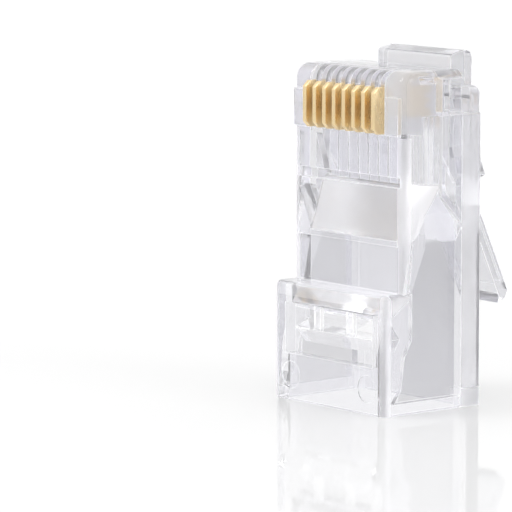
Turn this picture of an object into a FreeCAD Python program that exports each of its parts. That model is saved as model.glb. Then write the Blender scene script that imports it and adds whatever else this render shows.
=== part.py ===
"""Eight-way modular plug for network cable, in millimetres.

The plug stands on its cable end with its nose up. X runs across the width, Y from the
contact side to the latch side, Z from the cable end to the nose. The origin is the centre
of the cable end.
"""

import FreeCAD, Part

import os

import Sketcher

SIZES = {
    "body_width": 11.68,
    "body_depth": 6.9,
    "plug_length": 23.2,
    "nose_round": 1.0,
    "corner_round": 0.65,
    "flange_thickness": 1.7,
    "back_wall": 1.3,
    "flange_setback": 1.15,
    "flange_round": 0.6,
    "head_length": 1.85,
    "head_inset": 0.12,
    "foot_depth": 8.6,
    "foot_height": 8.2,
    "foot_wall": 0.95,
    "foot_corner_round": 0.5,
    "ledge_round": 0.35,
    "cavity_width": 9.24,
    "mid_wall": 1.2,
    "foot_roof": 7.3,
    "funnel_start": 11.7,
    "funnel_rise": 0.5,
    "funnel_end": 15.4,
    "comb_start": 14.5,
    "parting_height": 11.4,
    "parting_step": 0.12,
    "band_start": 15.4,
    "band_height": 0.7,
    "band_depth": 0.25,
    "band_end": 0.45,
    "channel_depth": 4.35,
    "channel_width": 0.84,
    "channel_tall": 0.95,
    "channel_end_wall": 0.8,
    "contact_pitch": 1.02,
    "contact_thickness": 0.35,
    "contact_proud": 0.9,
    "contact_reach": 3.4,
    "contact_foot": 18.95,
    "contact_head": 22.15,
    "contact_chamfer": 0.4,
    "contact_edge": 0.07,
    "heel_length": 1.15,
    "heel_depth": 0.86,
    "notch_width": 0.34,
    "notch_depth": 0.62,
    "side_prong": 0.52,
    "crimp_travel": 1.6,
    "slot_clearance": 0.04,
    "slot_end_gap": 0.06,
    "slot_nose_depth": 2.3,
    "shoulder_start": 18.9,
    "shoulder_length": 2.6,
    "shoulder_proud": 0.25,
    "shoulder_inset": 0.4,
    "comb_half_width": 4.1,
    "groove_width": 1.8,
    "groove_depth": 1.3,
    "groove_step": 0.65,
    "groove_end_wall": 0.6,
    "divider_height": 20.25,
    "divider_thickness": 0.26,
    "web_top": 18.3,
    "web_foot": 15.4,
    "ridge_top": 14.36,
    "ridge_foot": 12.45,
    "recess_depth": 0.65,
    "recess_start": 0.8,
    "ridge_gap": 0.3,
    "facet_top": 14.5,
    "facet_top_width": 3.3,
    "facet_knee": 11.3,
    "facet_knee_width": 2.4,
    "facet_foot_width": 1.0,
    "panel_top_width": 4.26,
    "panel_foot_width": 3.05,
    "foot_cheek": 2.45,
    "cheek_shoulder": 5.1,
    "cheek_waist": 3.9,
    "cheek_waist_width": 1.8,
    "cheek_ankle": 1.75,
    "cheek_ankle_width": 1.5,
    "cheek_toe_width": 0.85,
    "window_start": 3.25,
    "window_height": 3.55,
    "window_width": 9.2,
    "pin_mark_radius": 0.95,
    "pin_mark_depth": 0.1,
    "pin_mark_height": 1.75,
    "pin_mark_offset": 4.0,
    "root_width": 7.6,
    "root_inside": 0.9,
    "root_height": 1.2,
    "root_fall": 0.4,
    "root_round": 0.55,
    "root_front_round": 0.3,
    "hinge_height": 21.0,
    "arm_gap": 0.1,
    "arm_thickness": 0.9,
    "arm_angle": 14.0,
    "arm_straight": 0.5,
    "arm_shoulder": 20.0,
    "catch_width": 6.0,
    "catch_ramp_start": 17.6,
    "catch_crest": 16.85,
    "catch_rise": 0.65,
    "catch_end": 15.45,
    "catch_end_rise": 0.8,
    "tail_drop": 0.45,
    "tail_rise": 0.45,
    "tail_width": 3.2,
    "tail_angle": 24.8,
    "tail_thickness": 0.9,
    "tail_end": 6.0,
    "tail_round": 0.4,
    "panel_width": 2.2,
    "panel_depth": 0.22,
    "panel_start": 13.9,
    "panel_end": 7.6,
    "bar_width": 8.4,
    "bar_set_back": 0.6,
    "bar_ridge": 5.0,
    "bar_start": 4.05,
    "bar_height": 2.1,
    "bar_depth": 1.75,
    "bar_slope": 0.95,
    "bar_end_taper": 1.1,
    "bar_web_width": 0.7,
    "bar_web_thickness": 0.3,
    "bar_web_inset": 0.45,
    "bar_web_spread": 3.4,
}

CONTACT_COUNT = 8

LATCH_FACE = "sizes.foot_depth / 2"
FOOT_FACE = "-sizes.foot_depth / 2"
CONTACT_FACE = f"({LATCH_FACE} - sizes.body_depth)"
FLANGE_INNER = f"({LATCH_FACE} - sizes.flange_thickness)"
FLANGE_TOP = "(sizes.plug_length - sizes.flange_setback)"
SIDE_FACE = "sizes.body_width / 2"
CAVITY_FOOT = f"({FOOT_FACE} + sizes.foot_wall)"
CAVITY_FRONT = f"({CONTACT_FACE} + sizes.mid_wall)"
CAVITY_BACK = f"({LATCH_FACE} - sizes.back_wall)"
CHANNEL_AXIS = f"({CONTACT_FACE} + sizes.channel_depth)"
CHANNEL_FRONT = f"({CHANNEL_AXIS} - sizes.channel_tall / 2)"
CHANNEL_BACK = f"({CHANNEL_AXIS} + sizes.channel_tall / 2)"
CONTACT_OUTER = f"({CONTACT_FACE} - sizes.contact_proud)"
CONTACT_TIPS = f"({CONTACT_FACE} + sizes.contact_reach)"
HEEL_TOP = f"({CONTACT_FACE} + sizes.heel_depth)"
HEEL_END = "(sizes.contact_foot + sizes.heel_length)"
GROOVE_FRONT = f"({FLANGE_INNER} - sizes.groove_width)"
NOSE_WALL = "(sizes.plug_length - sizes.groove_end_wall)"
ARM_INNER = f"({LATCH_FACE} + sizes.arm_gap)"
ARM_OUTER = f"({LATCH_FACE} + sizes.arm_gap + sizes.arm_thickness)"
TAIL_START = "(sizes.catch_end - sizes.tail_drop)"
WINDOW_TOP = "(sizes.window_start + sizes.window_height)"


def make_sheet(doc):
    """Writes the driving sizes into a sheet, one named cell for each."""
    sheet = doc.addObject("Spreadsheet::Sheet", "sizes")
    for line, (name, size) in enumerate(SIZES.items(), start=1):
        sheet.set(f"A{line}", name)
        sheet.set(f"B{line}", str(size))
        sheet.setAlias(f"B{line}", name)
    doc.recompute()
    return sheet


def origin_part(body, role):
    """Finds one of a body's own origin planes or axes."""
    return next(part for part in body.Origin.OriginFeatures if part.Role == role)


def make_body(doc, name):
    """Starts a body whose label is the name of its node."""
    body = doc.addObject("PartDesign::Body", name)
    body.Label = name
    return body


def sketch_on(body, name, role, offset=None):
    """Makes an empty sketch on an origin plane, moved along its normal by offset."""
    sketch = body.newObject("Sketcher::SketchObject", name)
    sketch.AttachmentSupport = [(origin_part(body, role), "")]
    sketch.MapMode = "FlatFace"
    if offset:
        sketch.setExpression("AttachmentOffset.Base.z", offset)
    return sketch


def bind_point(sketch, edge, corner, place):
    """Ties one end or centre in a sketch to a pair of expressions."""
    for kind, text in zip(("DistanceX", "DistanceY"), place):
        size = float(sketch.evalExpression(text))
        number = sketch.addConstraint(Sketcher.Constraint(kind, -1, 1, edge, corner, size))
        sketch.setExpression(f"Constraints[{number}]", text)


def draw_outline(sketch, corners):
    """Draws a closed outline through corners given as pairs of expressions."""
    first = sketch.GeometryCount
    spots = [[float(sketch.evalExpression(text)) for text in corner] for corner in corners]
    ends = spots[1:] + spots[:1]
    for start, end in zip(spots, ends):
        line = Part.LineSegment(FreeCAD.Vector(*start, 0), FreeCAD.Vector(*end, 0))
        sketch.addGeometry(line, False)
    for step in range(len(spots)):
        after = first + (step + 1) % len(spots)
        sketch.addConstraint(Sketcher.Constraint("Coincident", first + step, 2, after, 1))
    for step, corner in enumerate(corners):
        bind_point(sketch, first + step, 1, corner)


def draw_box(sketch, low, high):
    """Draws a rectangle from its low corner to its high corner."""
    corners = [low, (high[0], low[1]), high, (low[0], high[1])]
    draw_outline(sketch, corners)


def draw_circle(sketch, centre, radius):
    """Draws a circle whose centre and radius are expressions."""
    spot = [float(sketch.evalExpression(text)) for text in centre]
    size = float(sketch.evalExpression(radius))
    number = sketch.addGeometry(Part.Circle(FreeCAD.Vector(*spot, 0), FreeCAD.Vector(0, 0, 1), size), False)
    bind_point(sketch, number, 3, centre)
    bound = sketch.addConstraint(Sketcher.Constraint("Radius", number, size))
    sketch.setExpression(f"Constraints[{bound}]", radius)


def extrude(body, kind, name, sketch, length, both=False, turned=False):
    """Adds a pad or pocket of a sketch, to one side or both sides of it."""
    feature = body.newObject(kind, name)
    feature.Profile = sketch
    feature.Midplane = both
    feature.Reversed = turned
    feature.setExpression("Length", length)
    sketch.Visibility = False
    body.Document.recompute()
    return feature


def pad(body, name, sketch, length, both=False, turned=False):
    """Adds material over a sketch."""
    return extrude(body, "PartDesign::Pad", name, sketch, length, both, turned)


def pocket(body, name, sketch, length, both=False, turned=False):
    """Cuts material away and checks that the cut met the body."""
    before = body.Shape.Volume
    feature = extrude(body, "PartDesign::Pocket", name, sketch, length, both, turned)
    if not feature.Shape.Volume < before:
        raise RuntimeError(f"{name} cuts nothing")
    return feature


def mirror(body, name, features):
    """Repeats side features on the other side of the plug."""
    feature = body.newObject("PartDesign::Mirrored", name)
    feature.Originals = features
    feature.MirrorPlane = (origin_part(body, "YZ_Plane"), [""])
    body.Tip = feature
    body.Document.recompute()
    return feature


def row(body, name, features):
    """Repeats features across the width, one for each contact."""
    feature = body.newObject("PartDesign::LinearPattern", name)
    feature.Originals = features
    feature.Direction = (origin_part(body, "X_Axis"), [""])
    feature.Occurrences = CONTACT_COUNT
    feature.setExpression("Length", f"sizes.contact_pitch * {CONTACT_COUNT - 1}")
    body.Tip = feature
    body.Document.recompute()
    return feature


def round_edges(body, name, radius, wanted):
    """Rounds the straight edges of a body whose middle passes a test."""
    base = body.Tip
    numbers = [
        number
        for number, edge in enumerate(base.Shape.Edges, start=1)
        if wanted(edge.CenterOfMass, edge.Vertexes[0].Point - edge.Vertexes[-1].Point)
    ]
    if not numbers:
        raise RuntimeError(f"{name} finds no edge")
    feature = body.newObject("PartDesign::Fillet", name)
    feature.Base = (base, [f"Edge{number}" for number in numbers])
    feature.setExpression("Radius", radius)
    body.Tip = feature
    body.Document.recompute()
    if "Invalid" in feature.State:
        raise RuntimeError(f"{name} fails")
    return feature


def near(one, other):
    """Says whether two lengths are the same."""
    return abs(one - other) < 1e-4


def contact_place(number):
    """Gives the place across the width of a contact, counted from 1."""
    return f"(sizes.contact_pitch * {number - 1 - (CONTACT_COUNT - 1) / 2})"


def make_shell(body, read):
    """Builds the housing's outside: body, foot, flange and latch root."""
    side = sketch_on(body, "side_outline", "YZ_Plane")
    draw_outline(side, [
        (FOOT_FACE, "0"),
        (FOOT_FACE, "sizes.foot_height"),
        (CONTACT_FACE, "sizes.foot_height"),
        (CONTACT_FACE, "sizes.plug_length"),
        (FLANGE_INNER, "sizes.plug_length"),
        (FLANGE_INNER, FLANGE_TOP),
        (LATCH_FACE, FLANGE_TOP),
        (LATCH_FACE, "0"),
    ])
    pad(body, "side_block", side, "sizes.body_width", both=True)
    contact_face, foot_face = read(CONTACT_FACE), read(FOOT_FACE)
    nose, half = read("sizes.plug_length"), read(SIDE_FACE)
    round_edges(body, "nose_edge", "sizes.nose_round",
                lambda at, run: near(at.y, contact_face) and near(at.z, nose))
    round_edges(body, "body_corners", "sizes.corner_round",
                lambda at, run: near(at.y, contact_face) and near(abs(at.x), half))
    round_edges(body, "foot_corners", "sizes.foot_corner_round",
                lambda at, run: near(at.y, foot_face) and near(abs(at.x), half))
    round_edges(body, "ledge_edge", "sizes.ledge_round",
                lambda at, run: near(at.y, foot_face) and near(at.z, read("sizes.foot_height")))
    round_edges(body, "flange_edge", "sizes.flange_round",
                lambda at, run: near(at.y, read(LATCH_FACE)) and near(at.z, read(FLANGE_TOP)))
    root = sketch_on(body, "root_outline", "YZ_Plane")
    root_front = f"{LATCH_FACE} - sizes.root_inside"
    root_top = "sizes.plug_length + sizes.root_height"
    draw_outline(root, [
        (root_front, "sizes.hinge_height"),
        (root_front, f"{root_top} - sizes.root_fall"),
        (ARM_OUTER, root_top),
        (ARM_OUTER, "sizes.hinge_height"),
    ])
    pad(body, "latch_root", root, "sizes.root_width", both=True)
    top = read(root_top)
    round_edges(body, "root_back_edge", "sizes.root_round",
                lambda at, run: near(at.y, read(ARM_OUTER)) and near(at.z, top))
    front_top = top - read("sizes.root_fall")
    round_edges(body, "root_front_edge", "sizes.root_front_round",
                lambda at, run: near(at.y, read(root_front)) and near(at.z, front_top))


def make_shoulders(body):
    """Adds the raised lands beside the contacts and the fine steps of the outside."""
    seat = f"-({CONTACT_FACE} + sizes.corner_round)"
    land = sketch_on(body, "shoulder_outline", "XZ_Plane", seat)
    draw_box(land, ("sizes.comb_half_width", "sizes.shoulder_start"),
             (f"{SIDE_FACE} - sizes.shoulder_inset", "sizes.shoulder_start + sizes.shoulder_length"))
    raised = pad(body, "shoulder", land, "sizes.corner_round + sizes.shoulder_proud")
    mirror(body, "shoulders", [raised])
    band = sketch_on(body, "band_outline", "YZ_Plane")
    draw_box(band, (f"{CONTACT_FACE} - sizes.band_depth", "sizes.band_start"),
             (f"{CONTACT_FACE} + sizes.band_depth", "sizes.band_start + sizes.band_height"))
    pocket(body, "cross_band", band, "sizes.body_width - 2 * sizes.band_end", both=True)
    parting = sketch_on(body, "parting_outline", "YZ_Plane")
    draw_box(parting, (f"{CONTACT_FACE} - sizes.parting_step", "sizes.foot_height"),
             (f"{CONTACT_FACE} + sizes.parting_step", "sizes.parting_height"))
    pocket(body, "parting_step_cut", parting, "sizes.body_width", both=True)
    head = sketch_on(body, "head_outline", "YZ_Plane", SIDE_FACE)
    draw_box(head, (FLANGE_INNER, f"{FLANGE_TOP} - sizes.head_length"),
             (f"{LATCH_FACE} + sizes.head_inset", f"{FLANGE_TOP} + sizes.head_inset"))
    step = pocket(body, "head_step", head, "sizes.head_inset")
    mirror(body, "head_steps", [step])


def make_cavity(body):
    """Hollows the cable space, its funnel and the comb of wire channels."""
    space = sketch_on(body, "cavity_outline", "YZ_Plane")
    draw_outline(space, [
        (CAVITY_FOOT, "0"),
        (CAVITY_FOOT, "sizes.foot_roof - sizes.foot_wall"),
        (CAVITY_FRONT, "sizes.foot_roof + sizes.foot_wall / 2"),
        (CAVITY_FRONT, "sizes.funnel_start"),
        (f"{CAVITY_FRONT} + sizes.funnel_rise", "sizes.funnel_start + sizes.funnel_rise"),
        (CHANNEL_FRONT, "sizes.funnel_end"),
        (CHANNEL_BACK, "sizes.comb_start"),
        (CAVITY_BACK, "sizes.comb_start - sizes.channel_tall"),
        (CAVITY_BACK, "0"),
    ])
    pocket(body, "cable_space", space, "sizes.cavity_width", both=True)
    channel = sketch_on(body, "channel_outline", "XY_Plane", "sizes.comb_start")
    draw_box(channel, (f"{contact_place(1)} - sizes.channel_width / 2", CHANNEL_FRONT),
             (f"{contact_place(1)} + sizes.channel_width / 2", CHANNEL_BACK))
    length = "sizes.plug_length - sizes.channel_end_wall - sizes.comb_start"
    first = pocket(body, "wire_channel", channel, length, turned=True)
    row(body, "wire_channels", [first])


def make_slots(body):
    """Cuts the contact slots, deep enough for the contacts to be driven home."""
    floor = f"{CONTACT_TIPS} + sizes.crimp_travel + sizes.slot_end_gap"
    heel_floor = f"{HEEL_TOP} + sizes.crimp_travel + sizes.slot_end_gap"
    nose_floor = f"{CONTACT_FACE} + sizes.slot_nose_depth"
    heel_side = f"{HEEL_END} - sizes.slot_end_gap"
    top_side = "sizes.contact_head + sizes.slot_end_gap"
    above = "sizes.plug_length + sizes.slot_end_gap"
    outside = f"{CONTACT_OUTER}"
    slot = sketch_on(body, "slot_outline", "YZ_Plane", contact_place(1))
    draw_outline(slot, [
        (outside, "sizes.contact_foot - sizes.slot_end_gap"),
        (heel_floor, "sizes.contact_foot - sizes.slot_end_gap"),
        (heel_floor, heel_side),
        (floor, heel_side),
        (floor, top_side),
        (nose_floor, top_side),
        (nose_floor, above),
        (outside, above),
    ])
    width = "sizes.contact_thickness + 2 * sizes.slot_clearance"
    first = pocket(body, "contact_slot", slot, width, both=True)
    row(body, "contact_slots", [first])


def make_side_grooves(body):
    """Cuts the grooves under the flange, with their divider and sloping step."""
    divider_low = "sizes.divider_height - sizes.divider_thickness / 2"
    divider_high = "sizes.divider_height + sizes.divider_thickness / 2"
    nose_end = sketch_on(body, "groove_nose_outline", "YZ_Plane", SIDE_FACE)
    draw_box(nose_end, (GROOVE_FRONT, divider_high), (FLANGE_INNER, NOSE_WALL))
    near_nose = pocket(body, "groove_nose_end", nose_end, "sizes.groove_depth")
    deep = sketch_on(body, "groove_deep_outline", "YZ_Plane", SIDE_FACE)
    draw_outline(deep, [
        (GROOVE_FRONT, divider_low),
        (FLANGE_INNER, divider_low),
        (FLANGE_INNER, "sizes.web_foot"),
        (GROOVE_FRONT, "sizes.web_top"),
    ])
    deep_part = pocket(body, "groove_deep_part", deep, "sizes.groove_depth")
    shallow = sketch_on(body, "groove_shallow_outline", "YZ_Plane", SIDE_FACE)
    draw_outline(shallow, [
        (GROOVE_FRONT, "sizes.web_top"),
        (FLANGE_INNER, "sizes.web_foot"),
        (FLANGE_INNER, "sizes.ridge_foot + sizes.ridge_gap"),
        (GROOVE_FRONT, "sizes.ridge_top + sizes.ridge_gap"),
    ])
    shallow_part = pocket(body, "groove_shallow_part", shallow, "sizes.groove_step")
    mirror(body, "side_grooves", [near_nose, deep_part, shallow_part])


def from_foot(width):
    """Gives the place in Y that lies a width behind the foot's face."""
    return f"({FOOT_FACE} + {width})"


def recess_corners(top, facet):
    """Lists the corners of a side recess between its three top corners and its facet's corners."""
    return top + [
        (FLANGE_INNER, "sizes.recess_start"),
        (from_foot("sizes.cheek_toe_width"), "sizes.recess_start"),
        (from_foot("sizes.cheek_ankle_width"), "sizes.cheek_ankle"),
        (from_foot("sizes.cheek_waist_width"), "sizes.cheek_waist"),
        (from_foot("sizes.foot_cheek"), "sizes.cheek_shoulder"),
        (from_foot("sizes.foot_cheek"), "sizes.foot_height"),
    ] + facet


def make_side_recesses(body):
    """Cuts the long recess in each side, with the ramp and the facet that lead into it."""
    outer = sketch_on(body, "recess_outer_outline", "YZ_Plane", SIDE_FACE)
    draw_outline(outer, recess_corners([
        (from_foot("sizes.facet_top_width"), "sizes.facet_top"),
        (GROOVE_FRONT, "sizes.ridge_top"),
        (FLANGE_INNER, "sizes.ridge_foot"),
    ], [
        (from_foot("sizes.facet_foot_width"), "sizes.foot_height"),
        (from_foot("sizes.facet_knee_width"), "sizes.facet_knee"),
    ]))
    inner = sketch_on(body, "recess_inner_outline", "YZ_Plane", f"{SIDE_FACE} - sizes.recess_depth")
    draw_outline(inner, recess_corners([
        (from_foot("sizes.panel_top_width"), "sizes.parting_height"),
        (GROOVE_FRONT, "sizes.parting_height"),
        (FLANGE_INNER, "sizes.parting_height"),
    ], [
        (from_foot("sizes.panel_foot_width"), "sizes.foot_height"),
        (from_foot("sizes.panel_top_width"), "sizes.parting_height - sizes.ridge_gap"),
    ]))
    body.Document.recompute()
    before = body.Shape.Volume
    recess = body.newObject("PartDesign::SubtractiveLoft", "side_recess")
    recess.Profile = outer
    recess.Sections = [inner]
    recess.Ruled = True
    outer.Visibility = False
    inner.Visibility = False
    body.Document.recompute()
    if not recess.Shape.Volume < before:
        raise RuntimeError("side_recess cuts nothing")
    mirror(body, "side_recesses", [recess])


def make_foot_details(body):
    """Cuts the strain relief window and the two moulding pin marks of the foot."""
    window = sketch_on(body, "window_outline", "XZ_Plane", f"-({FOOT_FACE})")
    draw_box(window, ("-sizes.window_width / 2", "sizes.window_start"),
             ("sizes.window_width / 2", WINDOW_TOP))
    pocket(body, "strain_relief_window", window, "sizes.foot_wall")
    mark = sketch_on(body, "pin_mark_outline", "XZ_Plane", f"-({FOOT_FACE})")
    draw_circle(mark, ("sizes.pin_mark_offset", "sizes.pin_mark_height"), "sizes.pin_mark_radius")
    first = pocket(body, "pin_mark", mark, "sizes.pin_mark_depth")
    mirror(body, "pin_marks", [first])


def make_housing(doc, read):
    """Builds the clear one-piece housing."""
    body = make_body(doc, "housing")
    make_shell(body, read)
    make_shoulders(body)
    make_cavity(body)
    make_slots(body)
    make_side_grooves(body)
    make_side_recesses(body)
    make_foot_details(body)
    return body


def arm_place(side, height):
    """Gives the place in Y of a side of the sloping arm at a height."""
    bend = "(sizes.hinge_height - sizes.arm_straight)"
    return f"{side} + ({bend} - {height}) * tan(sizes.arm_angle * 1 deg)"


def tail_place(height, inward="0"):
    """Gives the place in Y of the tail's outer face, or inward of it, at a height."""
    start = arm_place(ARM_OUTER, TAIL_START) + " + sizes.tail_rise"
    along = f"({TAIL_START} - {height}) * tan(sizes.tail_angle * 1 deg)"
    return f"{start} + {along} - {inward} / cos(sizes.tail_angle * 1 deg)"


def make_latch(doc, read):
    """Builds the latch: sloping arm, catch and finger tail."""
    body = make_body(doc, "latch")
    tip = "(sizes.tail_end + sizes.tail_thickness)"
    profile = sketch_on(body, "latch_profile", "YZ_Plane")
    draw_outline(profile, [
        (ARM_INNER, "sizes.hinge_height"),
        (ARM_OUTER, "sizes.hinge_height"),
        (ARM_OUTER, "sizes.hinge_height - sizes.arm_straight"),
        (arm_place(ARM_OUTER, "sizes.catch_ramp_start"), "sizes.catch_ramp_start"),
        (arm_place(ARM_OUTER, "sizes.catch_crest") + " + sizes.catch_rise", "sizes.catch_crest"),
        (arm_place(ARM_OUTER, "sizes.catch_end") + " + sizes.catch_end_rise", "sizes.catch_end"),
        (tail_place(TAIL_START), TAIL_START),
        (tail_place(tip), tip),
        (tail_place(tip, "sizes.tail_round"), "sizes.tail_end"),
        (tail_place("sizes.tail_end", "sizes.tail_thickness"), "sizes.tail_end"),
        (tail_place(TAIL_START, "sizes.tail_thickness"), TAIL_START),
        (arm_place(ARM_INNER, "sizes.catch_end"), "sizes.catch_end"),
    ])
    pad(body, "latch_block", profile, "sizes.root_width", both=True)
    beyond = f"{LATCH_FACE} * 4"
    shoulder_step = "(sizes.catch_width - sizes.tail_width) / 4"
    plan = sketch_on(body, "latch_plan", "XZ_Plane", f"-({LATCH_FACE})")
    draw_outline(plan, [
        ("sizes.root_width / 2", "sizes.arm_shoulder"),
        ("sizes.catch_width / 2", "sizes.catch_ramp_start"),
        ("sizes.catch_width / 2", "sizes.catch_end"),
        (f"sizes.tail_width / 2 + {shoulder_step}", TAIL_START),
        ("sizes.tail_width / 2", f"{TAIL_START} - sizes.tail_round"),
        ("sizes.tail_width / 2", "sizes.tail_end + sizes.tail_round"),
        ("sizes.tail_width / 2 - sizes.tail_round", "sizes.tail_end"),
        ("sizes.tail_width / 2 - sizes.tail_round", "sizes.tail_end - sizes.tail_round"),
        ("sizes.root_width", "sizes.tail_end - sizes.tail_round"),
        ("sizes.root_width", "sizes.arm_shoulder"),
    ])
    edge = pocket(body, "latch_edge", plan, beyond)
    mirror(body, "latch_edges", [edge])
    panel = sketch_on(body, "panel_outline", "YZ_Plane")
    draw_outline(panel, [
        (tail_place("sizes.panel_start", "-sizes.panel_depth"), "sizes.panel_start"),
        (tail_place("sizes.panel_start", "sizes.panel_depth"), "sizes.panel_start"),
        (tail_place("sizes.panel_end", "sizes.panel_depth"), "sizes.panel_end"),
        (tail_place("sizes.panel_end", "-sizes.panel_depth"), "sizes.panel_end"),
    ])
    pocket(body, "tail_panel", panel, "sizes.panel_width", both=True)
    return body


def make_strain_relief(doc):
    """Builds the strain relief bar with the two webs that carry it."""
    body = make_body(doc, "strain_relief_bar")
    front = f"({FOOT_FACE} + sizes.bar_set_back)"
    back = f"({front} + sizes.bar_depth)"
    top = "(sizes.bar_start + sizes.bar_height)"
    profile = sketch_on(body, "bar_profile", "YZ_Plane")
    draw_outline(profile, [
        (front, "sizes.bar_ridge"),
        (f"{front} + sizes.bar_slope", top),
        (back, top),
        (back, "sizes.bar_start"),
        (f"{front} + sizes.bar_slope / 2", "sizes.bar_start"),
    ])
    pad(body, "bar_block", profile, "sizes.bar_width", both=True)
    ends = sketch_on(body, "bar_end_outline", "XZ_Plane", f"-{back}")
    draw_outline(ends, [
        ("sizes.bar_width / 2", "sizes.bar_ridge"),
        ("sizes.bar_width / 2 - sizes.bar_end_taper", top),
        ("sizes.bar_width / 2", top),
    ])
    draw_outline(ends, [
        ("sizes.bar_width / 2", "sizes.bar_ridge"),
        ("sizes.bar_width / 2", "sizes.bar_start"),
        ("sizes.bar_width / 2 - sizes.bar_end_taper / 2", "sizes.bar_start"),
    ])
    taper = pocket(body, "bar_end", ends, "sizes.bar_depth", turned=True)
    mirror(body, "bar_ends", [taper])
    web = sketch_on(body, "web_outline", "YZ_Plane", "sizes.bar_web_spread / 2")
    web_front = f"{FOOT_FACE} + sizes.bar_web_inset"
    draw_box(web, (web_front, "sizes.bar_ridge"), (f"{web_front} + sizes.bar_web_thickness", WINDOW_TOP))
    first = pad(body, "bar_web", web, "sizes.bar_web_width", both=True)
    mirror(body, "bar_webs", [first])
    return body


def contact_outline():
    """Lists the corners of a contact: outer edge, heel, and three piercing prongs."""
    low, high = "sizes.contact_foot", "sizes.contact_head"
    bevel = "sizes.contact_chamfer"
    root = f"{CONTACT_TIPS} - sizes.notch_depth"
    corner = "sizes.notch_width / 3"
    tip = "sizes.notch_width / 2"
    first_notch = f"({high} - sizes.side_prong)"
    second_notch = f"({HEEL_END} + sizes.side_prong)"
    return [
        (CONTACT_OUTER, f"{low} + {bevel}"),
        (CONTACT_OUTER, f"{high} - {bevel}"),
        (f"{CONTACT_OUTER} + {bevel}", high),
        (f"{CONTACT_TIPS} - {tip}", high),
        (CONTACT_TIPS, f"{high} - {tip}"),
        (f"{CONTACT_TIPS} - {tip}", first_notch),
        (f"{root} + {corner}", first_notch),
        (root, f"{first_notch} - {corner}"),
        (root, f"{first_notch} - sizes.notch_width + {corner}"),
        (f"{root} + {corner}", f"{first_notch} - sizes.notch_width"),
        (f"{CONTACT_TIPS} - {tip}", f"{first_notch} - sizes.notch_width"),
        (CONTACT_TIPS, f"({first_notch} + {second_notch}) / 2"),
        (f"{CONTACT_TIPS} - {tip}", f"{second_notch} + sizes.notch_width"),
        (f"{root} + {corner}", f"{second_notch} + sizes.notch_width"),
        (root, f"{second_notch} + sizes.notch_width - {corner}"),
        (root, f"{second_notch} + {corner}"),
        (f"{root} + {corner}", second_notch),
        (f"{CONTACT_TIPS} - {tip}", second_notch),
        (CONTACT_TIPS, f"{HEEL_END} + {tip}"),
        (f"{CONTACT_TIPS} - {tip}", HEEL_END),
        (HEEL_TOP, HEEL_END),
        (HEEL_TOP, low),
        (f"{CONTACT_OUTER} + {bevel}", low),
    ]


def make_contact(doc, number, read):
    """Builds one stamped contact and rounds the edges that meet the jack."""
    body = make_body(doc, f"contact_{number}")
    blade = sketch_on(body, f"contact_{number}_outline", "YZ_Plane", contact_place(number))
    draw_outline(blade, contact_outline())
    pad(body, f"contact_{number}_blade", blade, "sizes.contact_thickness", both=True)
    outer = read(CONTACT_OUTER)
    round_edges(body, f"contact_{number}_edges", "sizes.contact_edge",
                lambda at, run: near(at.y, outer) and abs(run.z) > abs(run.x))
    return body


def check_document(doc):
    """Stops on any object that failed to compute."""
    doc.recompute()
    for item in doc.Objects:
        if "Invalid" in item.State or "Error" in item.State:
            raise RuntimeError(f"{item.Name} is {item.State}")


def write_parts(bodies):
    """Checks each body's solid and writes it to its own file."""
    os.makedirs("parts", exist_ok=True)
    for body in bodies:
        shape = body.Shape
        if shape.isNull() or not shape.isValid() or len(shape.Solids) != 1:
            raise RuntimeError(f"{body.Label} is not one valid solid")
        print(body.Label, round(shape.Volume, 3), "mm3", shape.BoundBox)
        shape.exportStep(f"parts/{body.Label}.step")


def main():
    """Builds the plug and writes its parts."""
    doc = FreeCAD.newDocument("modular_plug")
    sheet = make_sheet(doc)

    def read(text):
        return float(sheet.evalExpression(text.replace("sizes.", "")))

    bodies = [make_housing(doc, read), make_latch(doc, read), make_strain_relief(doc)]
    bodies += [make_contact(doc, number, read) for number in range(1, CONTACT_COUNT + 1)]
    check_document(doc)
    write_parts(bodies)


main()
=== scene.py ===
"""Dresses the clear network plug: moulded plastic, gilt blades and the pale studio round them."""

import logging
import math
from dataclasses import dataclass
from enum import Enum

import bmesh
import bpy
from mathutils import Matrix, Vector


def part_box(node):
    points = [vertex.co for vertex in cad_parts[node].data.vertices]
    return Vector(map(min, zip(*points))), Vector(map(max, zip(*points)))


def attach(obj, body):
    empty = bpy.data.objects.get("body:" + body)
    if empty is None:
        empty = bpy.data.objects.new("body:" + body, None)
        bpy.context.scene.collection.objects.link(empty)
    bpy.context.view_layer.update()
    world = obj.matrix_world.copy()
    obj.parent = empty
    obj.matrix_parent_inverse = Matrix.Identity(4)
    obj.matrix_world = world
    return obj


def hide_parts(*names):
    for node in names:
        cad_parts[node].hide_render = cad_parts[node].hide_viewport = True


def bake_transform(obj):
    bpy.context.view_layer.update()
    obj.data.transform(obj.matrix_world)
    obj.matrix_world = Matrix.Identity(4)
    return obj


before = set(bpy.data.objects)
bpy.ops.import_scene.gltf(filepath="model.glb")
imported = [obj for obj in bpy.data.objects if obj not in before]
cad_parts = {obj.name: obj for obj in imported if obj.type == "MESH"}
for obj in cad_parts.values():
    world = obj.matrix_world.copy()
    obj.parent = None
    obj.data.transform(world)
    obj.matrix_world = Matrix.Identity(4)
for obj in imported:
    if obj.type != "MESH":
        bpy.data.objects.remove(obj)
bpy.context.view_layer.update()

LOG = logging.getLogger("plug")
MM = 0.001
CONTACT_COUNT = 8

Triple = tuple[float, float, float]
Colour = tuple[float, float, float, float]
WHITE: Triple = (1.0, 1.0, 1.0)
# The lamps face this place, in metres.
PLUG_MIDDLE: Triple = (0.0, 0.0, 0.012)

# Corners this close are joined, faces that turn by less than this are merged, and a cut ignores less.
WELD_REACH = 0.0002 * MM
FLAT_TURN = math.radians(0.4)
CUT_REACH = 0.00001 * MM
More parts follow.
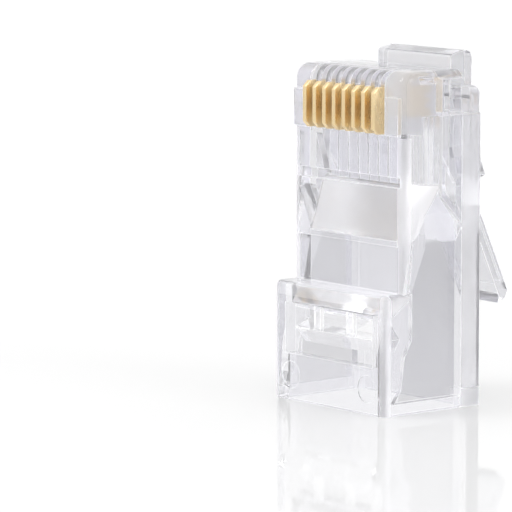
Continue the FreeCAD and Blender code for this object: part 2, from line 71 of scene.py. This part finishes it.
# Faces are shaded smooth up to these turns, in degrees.
MOULDED_TURN = 25.0
STAMPED_TURN = 40.0

# The mottle counts between these two levels of its noise. The waves are coarser, at this share of its scale.
MOTTLE_LOW, MOTTLE_HIGH = 0.35, 0.7
WAVE_SHARE = 0.15
# The cosine between the rounded normal and the face's own: where an edge begins, and where it is full.
EDGE_BEGINS, EDGE_FULL = 0.995, 0.85
EDGE_SAMPLES = 4
# A zone comes in over this width, and a painted glow has its blue raised by these factors.
ZONE_RIM = 0.05 * MM
PAINTED_GLOW_BLUE = 1.03
PAINTED_DEPTH_GLOW_BLUE = 1.04

# The places of a Mix node's two sides and of its result, for plain values and for colours.
MIX_VALUE = (2, 3, 0)
MIX_COLOUR = (6, 7, 2)
MATHS = "ShaderNodeMath"
VECTOR_MATHS = "ShaderNodeVectorMath"


class Ray(Enum):
    """The kinds of ray that see the studio in their own way."""

    CAMERA = "Is Camera Ray"
    GLOSSY = "Is Glossy Ray"


class Layer(Enum):
    """How a colour lies on the one under it."""

    COVER = "MIX"
    SHADE = "MULTIPLY"
    LIGHT = "ADD"


def grey(level: float, cold: float = 1.0) -> Colour:
    """Gives a grey, with its blue raised by a factor."""
    return (level, level, level * cold, 1.0)


def feed(tree: bpy.types.NodeTree, socket: bpy.types.NodeSocket, source: object) -> None:
    """Links a socket to a source, or sets its plain value.

    Args:
        tree: The tree that holds the socket.
        socket: The input.
        source: A node's output, or a value.
    """
    if isinstance(source, bpy.types.NodeSocket):
        tree.links.new(source, socket)
    else:
        socket.default_value = source


def add(tree: bpy.types.NodeTree, kind: str, **inputs: object) -> bpy.types.Node:
    """Adds a node and feeds its inputs.

    Args:
        tree: The tree that takes the node.
        kind: The node's type name.
        inputs: Outputs or values for its inputs, by name with underscores for spaces.

    Returns:
        The new node.
    """
    node = tree.nodes.new(kind)
    for name, source in inputs.items():
        feed(tree, node.inputs[name.replace("_", " ")], source)
    return node


def work_out(tree: bpy.types.NodeTree, kind: str, operation: str, *sources: object) -> bpy.types.NodeSocket:
    """Adds a sum on numbers or vectors.

    Args:
        tree: The tree that takes the node.
        kind: MATHS or VECTOR_MATHS.
        operation: What it works out.
        sources: Outputs or values, in the order of the inputs.

    Returns:
        The result's output.
    """
    node = tree.nodes.new(kind)
    node.operation = operation
    for socket, source in zip(node.inputs, sources):
        feed(tree, socket, source)
    number = kind == MATHS or operation in ("DOT_PRODUCT", "LENGTH")
    return node.outputs["Value" if number else "Vector"]


def add_mix(tree: bpy.types.NodeTree, mask: object, under: object, over: object,
            layer: Layer = Layer.COVER, colour: bool = True) -> bpy.types.NodeSocket:
    """Adds a mix of two colours or two values.

    Args:
        tree: The tree that takes the mix.
        mask: Where the second one shows.
        under: The first colour or value.
        over: The second one.
        layer: How a second colour lies on the first.
        colour: Whether they are colours.

    Returns:
        The mix's output.
    """
    mix = tree.nodes.new("ShaderNodeMix")
    if colour:
        mix.data_type = "RGBA"
        mix.blend_type = layer.value
    first, second, result = MIX_COLOUR if colour else MIX_VALUE
    feed(tree, mix.inputs[0], mask)
    feed(tree, mix.inputs[first], under)
    feed(tree, mix.inputs[second], over)
    return mix.outputs[result]


def lay_over(material: bpy.types.Material, name: str, mask: bpy.types.NodeSocket, over: object,
             layer: Layer = Layer.COVER) -> None:
    """Lays a colour or a value over what already feeds one of the shader's inputs.

    Args:
        material: The material.
        name: The input's name.
        mask: Where the new one shows.
        over: The new colour or value.
        layer: How a new colour lies on the old one.
    """
    tree = material.node_tree
    target = tree.nodes["Principled BSDF"].inputs[name]
    under = target.links[0].from_socket
    tree.links.new(add_mix(tree, mask, under, over, layer, target.type == "RGBA"), target)


def mix_shaders(tree: bpy.types.NodeTree, share: object, first: bpy.types.Node,
                second: bpy.types.Node) -> bpy.types.Node:
    """Adds a mix of two shaders.

    Args:
        tree: The tree that takes the mix.
        share: How much of the second one shows.
        first: The first shader's node.
        second: The second shader's node.

    Returns:
        The mix's node.
    """
    mix = tree.nodes.new("ShaderNodeMixShader")
    for socket, source in zip(mix.inputs, (share, first.outputs[0], second.outputs[0])):
        feed(tree, socket, source)
    return mix


def add_ramp(tree: bpy.types.NodeTree, place: bpy.types.NodeSocket,
             stops: list[tuple[float, float]]) -> bpy.types.NodeSocket:
    """Adds a grey ramp.

    Args:
        tree: The tree that takes the ramp.
        place: What moves along the ramp.
        stops: Pairs of place and brightness, lowest place first.

    Returns:
        The ramp's colour.
    """
    ramp = add(tree, "ShaderNodeValToRGB", Fac=place)
    ramp.color_ramp.interpolation = "EASE"
    while len(ramp.color_ramp.elements) < len(stops):
        ramp.color_ramp.elements.new(0.5)
    for element, (position, level) in zip(ramp.color_ramp.elements, stops):
        element.position = position
        element.color = grey(level)
    return ramp.outputs["Color"]


def new_group(name: str, kind: str, inputs: dict[str, str],
              outputs: dict[str, str]) -> tuple[bpy.types.NodeTree, bpy.types.Node, bpy.types.Node]:
    """Makes an empty node group with named sockets.

    Args:
        name: The group's name.
        kind: The type of its tree.
        inputs: The inputs' names, each with its socket's type.
        outputs: The outputs' names, each with its socket's type.

    Returns:
        The group, the node that holds its inputs and the one that takes its outputs.
    """
    group = bpy.data.node_groups.new(name, kind)
    for side, sockets in (("INPUT", inputs), ("OUTPUT", outputs)):
        for label, socket in sockets.items():
            group.interface.new_socket(label, in_out=side, socket_type=f"NodeSocket{socket}")
    return group, group.nodes.new("NodeGroupInput"), group.nodes.new("NodeGroupOutput")


def surface_polish_group() -> bpy.types.NodeTree:
    """Builds the group that breaks up a surface: slow waves, a mottled polish and duller edges.

    Returns:
        The shader node group.
    """
    group, ends, out = new_group(
        "surface_polish", "ShaderNodeTree",
        {"Grain": "Float", "Stretch": "Vector", "Polished": "Float", "Dull": "Float",
         "Edge Width": "Float", "Edge Dull": "Float"},
        {"Roughness": "Float", "Height": "Float", "Mottle": "Float", "Edge": "Float"})
    given = ends.outputs
    place = group.nodes.new("ShaderNodeTexCoord").outputs["Object"]
    spread = work_out(group, VECTOR_MATHS, "MULTIPLY", place, given["Stretch"])
    mottle = add(group, "ShaderNodeTexNoise", Vector=spread, Scale=given["Grain"], Detail=3.0, Roughness=0.55)
    longer = work_out(group, MATHS, "MULTIPLY", given["Grain"], WAVE_SHARE)
    wave = add(group, "ShaderNodeTexNoise", Vector=spread, Scale=longer, Detail=1.0)
    polish = add(group, "ShaderNodeMapRange", Value=mottle.outputs["Fac"], From_Min=MOTTLE_LOW,
                 From_Max=MOTTLE_HIGH, To_Min=given["Polished"], To_Max=given["Dull"])
    rounded = add(group, "ShaderNodeBevel", Radius=given["Edge Width"])
    rounded.samples = EDGE_SAMPLES
    face = group.nodes.new("ShaderNodeNewGeometry")
    turn = work_out(group, VECTOR_MATHS, "DOT_PRODUCT", rounded.outputs["Normal"], face.outputs["Normal"])
    edge = add(group, "ShaderNodeMapRange", Value=turn, From_Min=EDGE_BEGINS, From_Max=EDGE_FULL)
    dulled = add_mix(group, edge.outputs["Result"], polish.outputs["Result"], given["Edge Dull"], colour=False)
    feed(group, out.inputs["Roughness"], dulled)
    feed(group, out.inputs["Height"], wave.outputs["Fac"])
    feed(group, out.inputs["Mottle"], mottle.outputs["Fac"])
    feed(group, out.inputs["Edge"], edge.outputs["Result"])
    return group


def mirrored_zone_group() -> bpy.types.NodeTree:
    """Builds the group that marks a box of the part, on both sides of its middle plane.

    Returns:
        The shader node group.
    """
    group, ends, out = new_group("mirrored_zone", "ShaderNodeTree", {"Low": "Vector", "High": "Vector"},
                                 {"Mask": "Float"})
    place = group.nodes.new("ShaderNodeTexCoord").outputs["Object"]
    axes = add(group, "ShaderNodeSeparateXYZ", Vector=place).outputs
    across = work_out(group, MATHS, "ABSOLUTE", axes["X"])
    folded = add(group, "ShaderNodeCombineXYZ", X=across, Y=axes["Y"], Z=axes["Z"]).outputs["Vector"]
    past_low = work_out(group, VECTOR_MATHS, "SUBTRACT", folded, ends.outputs["Low"])
    short_of_high = work_out(group, VECTOR_MATHS, "SUBTRACT", ends.outputs["High"], folded)
    inside = work_out(group, VECTOR_MATHS, "MINIMUM", past_low, short_of_high)
    gaps = add(group, "ShaderNodeSeparateXYZ", Vector=inside).outputs
    nearest = gaps["X"]
    for axis in ("Y", "Z"):
        nearest = work_out(group, MATHS, "MINIMUM", nearest, gaps[axis])
    mask = add(group, "ShaderNodeMapRange", Value=nearest, From_Max=ZONE_RIM)
    feed(group, out.inputs["Mask"], mask.outputs["Result"])
    return group


@dataclass(frozen=True)
class Zone:
    """A box of the housing with painted shade, painted glow and a roughness of its own: corners in mm, shade,
    roughness and glow.
    """

    name: str
    low: Triple
    high: Triple
    shade: float = 1.0
    dull: float = 0.05
    glow: float = 0.0

    def apply(self, material: bpy.types.Material, zones: bpy.types.NodeTree) -> None:
        """Paints shade into the colour, dulls the polish and paints a glow with emission inside the zone.

        Args:
            material: A finished material.
            zones: The shared group that marks a box.
        """
        box = material.node_tree.nodes.new("ShaderNodeGroup")
        box.node_tree = zones
        box.label = self.name
        box.inputs["Low"].default_value = tuple(size * MM for size in self.low)
        box.inputs["High"].default_value = tuple(size * MM for size in self.high)
        mask = box.outputs["Mask"]
        lay_over(material, "Base Color", mask, grey(self.shade), Layer.SHADE)
        lay_over(material, "Roughness", mask, self.dull)
        if self.glow:
            lay_over(material, "Emission Color", mask, grey(self.glow, PAINTED_GLOW_BLUE), Layer.LIGHT)


@dataclass(frozen=True)
class Finish:
    """What every surface of the plug shares: two tints, its polish, its slow wave and its edges, which are
    painted lighter as a highlight.
    """

    name: str
    tint: Triple
    deep_tint: Triple
    polished: float
    dull: float
    grain: float
    wave_height: float
    painted_edge_highlight: Triple
    edge_dull: float
    edge_width: float = 0.07 * MM
    stretch: Triple = (1.0, 1.0, 1.0)

    def set_constants(self, shader: bpy.types.Node) -> None:
        """Leaves the shader as it is, where a finish has no constants of its own."""

    def add_painted_glow(self, material: bpy.types.Material, polish: bpy.types.Node) -> None:
        """Adds no painted glow, where a finish has none."""

    def material(self, polish: bpy.types.NodeTree) -> bpy.types.Material:
        """Builds the material.

        Args:
            polish: The shared group that breaks up the polish.

        Returns:
            The finished material.
        """
        material = bpy.data.materials.new(self.name)
        material.use_nodes = True
        tree = material.node_tree
        shader = tree.nodes["Principled BSDF"]
        self.set_constants(shader)
        surface = tree.nodes.new("ShaderNodeGroup")
        surface.node_tree = polish
        values = {"Grain": self.grain, "Stretch": self.stretch, "Polished": self.polished, "Dull": self.dull,
                  "Edge Width": self.edge_width, "Edge Dull": self.edge_dull}
        for name, value in values.items():
            surface.inputs[name].default_value = value
        made = surface.outputs
        body = add_mix(tree, made["Mottle"], (*self.tint, 1.0), (*self.deep_tint, 1.0))
        # The edges take a painted highlight colour, lighter than the body.
        feed(tree, shader.inputs["Base Color"], add_mix(tree, made["Edge"], body, (*self.painted_edge_highlight, 1.0)))
        feed(tree, shader.inputs["Roughness"], made["Roughness"])
        # Painted glow: emission that stands in for light, where a finish has it.
        self.add_painted_glow(material, surface)
        bump = add(tree, "ShaderNodeBump", Strength=1.0, Distance=self.wave_height, Height=made["Height"])
        feed(tree, shader.inputs["Normal"], bump.outputs["Normal"])
        return material


@dataclass(frozen=True)
class ClearPlastic(Finish):
    """Clear polycarbonate as it leaves a polished mould.

    The last four fields paint a glow with emission, where light caught in the walls would come out again: on
    rays past a depth, along the edges and over the whole body.
    """

    ior: float = 1.58
    clearness: float = 0.88
    depth_glow_after: float = 4.5
    painted_depth_glow: float = 0.1
    painted_edge_glow: float = 0.35
    painted_body_glow: float = 0.0

    def set_constants(self, shader: bpy.types.Node) -> None:
        """Sets the plastic's clearness and index, and the strength of its painted glow.

        Args:
            shader: The material's shader.
        """
        shader.inputs["Metallic"].default_value = 0.0
        shader.inputs["Transmission Weight"].default_value = self.clearness
        shader.inputs["IOR"].default_value = self.ior
        shader.inputs["Emission Strength"].default_value = 1.0

    def add_painted_glow(self, material: bpy.types.Material, polish: bpy.types.Node) -> None:
        """Paints a glow with emission, on rays deep in the walls and along the edges.

        Args:
            material: The material that is being built.
            polish: Its node of the shared group.
        """
        tree = material.node_tree
        path = tree.nodes.new("ShaderNodeLightPath")
        # Painted glow: emission on rays past a depth, and a painted edge glow laid over it along the edges.
        deep = work_out(tree, MATHS, "GREATER_THAN", path.outputs["Ray Depth"], self.depth_glow_after)
        painted_glow_colour = add_mix(tree, deep, grey(self.painted_body_glow), grey(self.painted_depth_glow, PAINTED_DEPTH_GLOW_BLUE))
        feed(tree, tree.nodes["Principled BSDF"].inputs["Emission Color"], painted_glow_colour)
        edge = polish.outputs["Edge"]
        lay_over(material, "Emission Color", edge, grey(self.painted_edge_glow, PAINTED_GLOW_BLUE), Layer.LIGHT)


@dataclass(frozen=True)
class GoldPlate(Finish):
    """Thin bright gold over a stamped blade."""

    metal: float = 0.85

    def set_constants(self, shader: bpy.types.Node) -> None:
        """Sets the metal."""
        shader.inputs["Metallic"].default_value = self.metal


CLEAR = ClearPlastic(
    name="clear_polycarbonate", tint=(0.938, 0.936, 0.957), deep_tint=(0.9, 0.898, 0.928),
    polished=0.0, dull=0.03, grain=700.0, wave_height=0.0012 * MM, painted_edge_highlight=WHITE, edge_dull=0.45)
# The latch and the bar are the housing's plastic: the latch's tint is painted darker, as painted shade, and
# the bar's is painted lighter, as painted light, with a painted glow over its whole body.
CLEAR_LATCH_PAINTED_DARKER = ClearPlastic(
    name="clear_plastic_latch_painted_darker", tint=(0.86, 0.86, 0.885), deep_tint=(0.82, 0.82, 0.85),
    polished=0.0, dull=0.05, grain=900.0, wave_height=0.003 * MM, painted_edge_highlight=WHITE, edge_dull=0.45)
CLEAR_BAR_PAINTED_LIGHTER = ClearPlastic(
    name="clear_plastic_bar_painted_lighter", tint=WHITE, deep_tint=(0.98, 0.98, 0.99),
    polished=0.02, dull=0.12, grain=1100.0, wave_height=0.006 * MM, painted_edge_highlight=WHITE, edge_dull=0.45,
    painted_edge_glow=0.3, painted_body_glow=0.03)
GOLD = GoldPlate(
    name="gold_plate", tint=(0.97, 0.79, 0.47), deep_tint=(0.78, 0.58, 0.32),
    polished=0.2, dull=0.4, grain=2600.0, wave_height=0.003 * MM, painted_edge_highlight=(1.0, 0.92, 0.68), edge_dull=0.3,
    stretch=(1.0, 1.0, 0.25))

# The zones paint shade into the housing's colour and a glow into its emission: darker over the side recess,
# the cross band, the nose side and the end slot wall, glowing over the funnel, the corners, the flange foot,
# the ledge and the end slot wall.
# Each zone also marks its mirror image. A later one lies over an earlier one.
ZONES = (
    Zone("side_recess_panel", (5.0, -2.5, 0.8), (5.25, 4.2, 14.6), shade=0.68),
    Zone("funnel", (-0.1, -1.6, 11.6), (4.5, 3.2, 15.3), dull=0.34, glow=0.15),
    Zone("cross_band", (-0.1, -2.8, 15.42), (5.1, -2.3, 16.08), shade=0.88),
    Zone("foot_corner", (5.3, -4.4, -0.1), (6.0, -3.7, 8.3), dull=0.5, glow=0.16),
    Zone("body_corner", (5.1, -2.8, 8.2), (6.0, -1.95, 18.8), dull=0.5, glow=0.16),
    Zone("flange_foot", (4.0, 2.5, -0.1), (6.0, 4.4, 1.3), dull=0.3, glow=0.06),
    Zone("foot_ledge", (-0.1, -4.4, 7.25), (5.3, -2.3, 8.3), dull=0.2, glow=0.1),
    Zone("nose_side", (5.5, -1.9, 15.6), (6.0, 2.6, 23.3), shade=0.97, dull=0.12),
    Zone("end_slot_wall", (3.7, -3.2, 18.6), (3.9, 4.6, 24.4), shade=0.6, dull=0.75, glow=0.24),
)


def merged_copy(node: str, name: str) -> bpy.types.Object:
    """Copies a node of the frame as one joined surface.

    Args:
        node: The frame's node.
        name: The copy's name.

    Returns:
        The copy, at the origin.
    """
    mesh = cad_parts[node].data.copy()
    mesh.name = name
    mesh.materials.clear()
    work = bmesh.new()
    work.from_mesh(mesh)
    bmesh.ops.remove_doubles(work, verts=work.verts, dist=WELD_REACH)
    bmesh.ops.dissolve_limit(work, angle_limit=FLAT_TURN, verts=work.verts, edges=work.edges)
    work.to_mesh(mesh)
    work.free()
    piece = bpy.data.objects.new(name, mesh)
    bpy.context.scene.collection.objects.link(piece)
    return piece


def apply_modifiers(piece: bpy.types.Object) -> None:
    """Turns a piece's modifiers into plain mesh.

    Args:
        piece: The piece.
    """
    graph = bpy.context.evaluated_depsgraph_get()
    mesh = bpy.data.meshes.new_from_object(piece.evaluated_get(graph))
    mesh.name = piece.name
    piece.modifiers.clear()
    piece.data = mesh


def shade_by_angle(piece: bpy.types.Object, angle: float) -> None:
    """Shades a mesh smooth, with an edge wherever its faces turn by more than an angle.

    Args:
        piece: The piece.
        angle: The angle in degrees.
    """
    work = bmesh.new()
    work.from_mesh(piece.data)
    for face in work.faces:
        face.smooth = True
    for edge in work.edges:
        edge.smooth = len(edge.link_faces) == 2 and edge.calc_face_angle(math.pi) < math.radians(angle)
    work.to_mesh(piece.data)
    work.free()


def slice_across(piece: bpy.types.Object, heights: list[float]) -> None:
    """Cuts a mesh's faces across at heights.

    Args:
        piece: The piece.
        heights: Places along Z, in metres.
    """
    work = bmesh.new()
    work.from_mesh(piece.data)
    for height in heights:
        bmesh.ops.bisect_plane(work, geom=work.verts[:] + work.edges[:] + work.faces[:], dist=CUT_REACH,
                               plane_co=(0.0, 0.0, height), plane_no=(0.0, 0.0, 1.0))
    work.to_mesh(piece.data)
    work.free()


@dataclass
class Moulding:
    """The clear moulding: the housing, and the latch and bar that bend on it."""

    latch_bend: float = 0.7 * MM
    bar_bend: float = 0.45 * MM
    bend_cuts: int = 6

    def dress_housing(self, plastic: bpy.types.Material) -> bpy.types.Object:
        """Builds the housing's surface.

        Args:
            plastic: Its material.

        Returns:
            The finished piece.
        """
        piece = merged_copy("housing", "clear_housing")
        shade_by_angle(piece, MOULDED_TURN)
        piece.data.materials.append(plastic)
        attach(piece, "housing")
        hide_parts("housing")
        return piece

    def dress_bending(self, node: str, name: str, bend: float,
                      plastic: bpy.types.Material) -> bpy.types.Object:
        """Builds a part that comes out of the housing at its top, with its faces cut across near the top.

        Args:
            node: The frame's node.
            name: The piece's name.
            bend: The length below its top that is cut across.
            plastic: Its material.

        Returns:
            The finished piece.
        """
        low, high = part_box(node)
        piece = merged_copy(node, name)
        slice_across(piece, [high.z - bend * (step + 1) / self.bend_cuts for step in range(self.bend_cuts)])
        shade_by_angle(piece, MOULDED_TURN)
        piece.data.materials.append(plastic)
        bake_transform(piece)
        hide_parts(node)
        return piece

    def build(self, polish: bpy.types.NodeTree) -> None:
        """Builds and reports all the clear pieces.

        Args:
            polish: The shared group that breaks up the polish.
        """
        plastic = CLEAR.material(polish)
        zones = mirrored_zone_group()
        # Paints shade and glow onto the housing's plastic, zone by zone.
        for zone in ZONES:
            zone.apply(plastic, zones)
        LOG.info("made %s", self.dress_housing(plastic).name)
        latch = self.dress_bending("latch", "clear_latch", self.latch_bend,
                                   CLEAR_LATCH_PAINTED_DARKER.material(polish))
        LOG.info("made %s", latch.name)
        bar = self.dress_bending("strain_relief_bar", "clear_bar", self.bar_bend,
                                 CLEAR_BAR_PAINTED_LIGHTER.material(polish))
        LOG.info("made %s", bar.name)


@dataclass
class ContactRow:
    """The eight gilt blades, each a copy of the first one at its own place in the row."""

    stamped_edge: float = 0.03 * MM
    edge_steps: int = 2
    sharp_turn: float = 30.0

    def place_tree(self) -> bpy.types.NodeTree:
        """Builds the tree that stands copies of a blade across the plug.

        Returns:
            The geometry node tree, with inputs for the pitch, the first place, the count and the plating.
        """
        tree, ends, out = new_group(
            "blade_row", "GeometryNodeTree",
            {"Blade": "Geometry", "Pitch": "Float", "First": "Int", "Count": "Int", "Plating": "Material"},
            {"Row": "Geometry"})
        given = ends.outputs
        offset = work_out(tree, MATHS, "MULTIPLY", given["Pitch"], given["First"])
        start = add(tree, "ShaderNodeCombineXYZ", X=offset)
        step = add(tree, "ShaderNodeCombineXYZ", X=given["Pitch"])
        line = add(tree, "GeometryNodeMeshLine", Count=given["Count"], Start_Location=start.outputs["Vector"],
                   Offset=step.outputs["Vector"])
        stand = add(tree, "GeometryNodeInstanceOnPoints", Points=line.outputs["Mesh"], Instance=given["Blade"])
        solid = add(tree, "GeometryNodeRealizeInstances", Geometry=stand.outputs["Instances"])
        plate = add(tree, "GeometryNodeSetMaterial", Geometry=solid.outputs["Geometry"],
                    Material=given["Plating"])
        feed(tree, out.inputs["Row"], plate.outputs["Geometry"])
        return tree

    def stamp_edges(self, blade: bpy.types.Object) -> None:
        """Rounds a blade's sharp edges a little, as stamping and plating leave them.

        Args:
            blade: The blade.
        """
        bevel = blade.modifiers.new("stamped_edges", "BEVEL")
        bevel.width = self.stamped_edge
        bevel.segments = self.edge_steps
        bevel.limit_method = "ANGLE"
        bevel.angle_limit = math.radians(self.sharp_turn)
        apply_modifiers(blade)
        shade_by_angle(blade, STAMPED_TURN)

    def build(self, polish: bpy.types.NodeTree) -> None:
        """Builds and reports one plated blade for each body.

        Args:
            polish: The shared group that breaks up the polish.
        """
        gold = GOLD.material(polish)
        tree = self.place_tree()
        names = {item.name: item.identifier for item in tree.interface.items_tree if item.in_out == "INPUT"}
        first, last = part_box("contact_1")[0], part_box(f"contact_{CONTACT_COUNT}")[0]
        pitch = (last.x - first.x) / (CONTACT_COUNT - 1)
        for number in range(1, CONTACT_COUNT + 1):
            blade = merged_copy("contact_1", f"gilt_contact_{number}")
            row = blade.modifiers.new("row", "NODES")
            row.node_group = tree
            row[names["Pitch"]] = pitch
            row[names["First"]] = number - 1
            row[names["Count"]] = 1
            row[names["Plating"]] = gold
            apply_modifiers(blade)
            self.stamp_edges(blade)
            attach(blade, f"contact_{number}")
            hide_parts(f"contact_{number}")
            LOG.info("made %s", blade.name)


@dataclass(frozen=True)
class Lamp:
    """A square lamp that faces the plug: its place and side in metres, and its power in watts."""

    name: str
    place: Triple
    side: float
    power: float

    def hang(self) -> None:
        """Hangs the lamp."""
        light = bpy.data.lights.new(self.name, "AREA")
        light.size = self.side
        light.energy = self.power
        holder = bpy.data.objects.new(self.name, light)
        holder.location = self.place
        holder.rotation_euler = (Vector(self.place) - Vector(PLUG_MIDDLE)).to_track_quat("Z", "Y").to_euler()
        bpy.context.scene.collection.objects.link(holder)


LAMPS = (
    Lamp("key_lamp", (-0.25, -0.35, 0.45), side=0.3, power=0.9),
    Lamp("side_lamp", (0.5, 0.15, 0.3), side=0.25, power=0.5),
)


@dataclass
class Studio:
    """The pale floor, the sky that lights the plug, and the camera."""

    floor_size: float = 6.0
    floor_drop: float = 0.02 * MM
    floor_level: float = 0.9
    floor_polish: float = 0.045
    floor_glow: float = 0.15
    bright_reach: float = 0.2
    lift_begins: float = 0.2
    near_lift: float = 0.95
    far_lift: float = 1.4
    camera_place: Triple = (0.2077506, -0.1809341, 0.0468763)
    camera_pitch: float = 7.6136
    camera_turn: float = 50.667
    camera_lens: float = 283.75
    camera_near: float = 0.01
    bounces: int = 16

    def floor_material(self) -> bpy.types.Material:
        """Builds the floor's white: glossy and lifted to white for the camera, a plain glow for other rays.

        Returns:
            The finished material.
        """
        material = bpy.data.materials.new("white_floor")
        material.use_nodes = True
        tree = material.node_tree
        shader = tree.nodes["Principled BSDF"]
        shader.inputs["Base Color"].default_value = grey(self.floor_level)
        shader.inputs["Roughness"].default_value = self.floor_polish
        place = tree.nodes.new("ShaderNodeTexCoord").outputs["Object"]
        away = work_out(tree, VECTOR_MATHS, "LENGTH", place)
        spread = work_out(tree, MATHS, "DIVIDE", away, self.bright_reach)
        lift = add(tree, "ShaderNodeMapRange", Value=spread, From_Min=self.lift_begins,
                   To_Min=self.near_lift, To_Max=self.far_lift)
        glow = add(tree, "ShaderNodeEmission", Color=grey(1.0), Strength=lift.outputs["Result"])
        seen = mix_shaders(tree, self.floor_glow, shader, glow)
        fade = add_ramp(tree, spread, [(0.1, 1.0), (0.5, 0.9), (1.0, 0.85)])
        unseen = add(tree, "ShaderNodeEmission", Color=fade)
        path = tree.nodes.new("ShaderNodeLightPath").outputs
        floor = mix_shaders(tree, path[Ray.CAMERA.value], unseen, seen)
        feed(tree, tree.nodes["Material Output"].inputs["Surface"], floor.outputs[0])
        return material

    def lay_floor(self) -> None:
        """Lays the white floor, a hair below the plug."""
        half = self.floor_size / 2
        mesh = bpy.data.meshes.new("floor")
        corners = [(-half, -half), (half, -half), (half, half), (-half, half)]
        mesh.from_pydata([(x, y, -self.floor_drop) for x, y in corners], [], [(0, 1, 2, 3)])
        mesh.materials.append(self.floor_material())
        floor = bpy.data.objects.new("floor", mesh)
        bpy.context.scene.collection.objects.link(floor)

    def light_sky(self) -> None:
        """Lights the sky: white to the camera and in the gloss, and a soft pale room for the plug."""
        world = bpy.data.worlds.new("studio")
        bpy.context.scene.world = world
        world.use_nodes = True
        tree = world.node_tree
        place = tree.nodes.new("ShaderNodeTexCoord").outputs["Generated"]
        height = add(tree, "ShaderNodeSeparateXYZ", Vector=place).outputs["Z"]
        room = tree.nodes["Background"]
        fade = add_ramp(tree, height, [(0.0, 0.85), (0.15, 0.75), (0.4, 0.85), (0.7, 1.0)])
        feed(tree, room.inputs["Color"], fade)
        seen = add(tree, "ShaderNodeBackground", Color=grey(1.0), Strength=1.0)
        path = tree.nodes.new("ShaderNodeLightPath").outputs
        either = work_out(tree, MATHS, "MAXIMUM", path[Ray.CAMERA.value], path[Ray.GLOSSY.value])
        sky = mix_shaders(tree, either, room, seen)
        feed(tree, tree.nodes["World Output"].inputs["Surface"], sky.outputs[0])

    def set_camera(self) -> None:
        """Stands the camera where the plug is seen from its contact side, a little above."""
        lens = bpy.data.cameras.new("camera")
        lens.lens = self.camera_lens
        lens.clip_start = self.camera_near
        holder = bpy.data.objects.new("camera", lens)
        holder.location = self.camera_place
        holder.rotation_euler = (math.radians(90.0 - self.camera_pitch), 0.0, math.radians(self.camera_turn))
        bpy.context.scene.collection.objects.link(holder)
        bpy.context.scene.camera = holder

    def build(self) -> None:
        """Sets up and reports the whole studio."""
        self.lay_floor()
        self.light_sky()
        for lamp in LAMPS:
            lamp.hang()
        self.set_camera()
        scene = bpy.context.scene
        scene.view_settings.view_transform = "Standard"
        scene.cycles.max_bounces = self.bounces
        scene.cycles.transmission_bounces = self.bounces
        LOG.info("studio is set")


def main() -> None:
    """Builds every piece in order."""
    logging.basicConfig(level=logging.INFO, format="%(message)s")
    polish = surface_polish_group()
    Moulding().build(polish)
    ContactRow().build(polish)
    Studio().build()


if __name__ == "__main__":
    main()
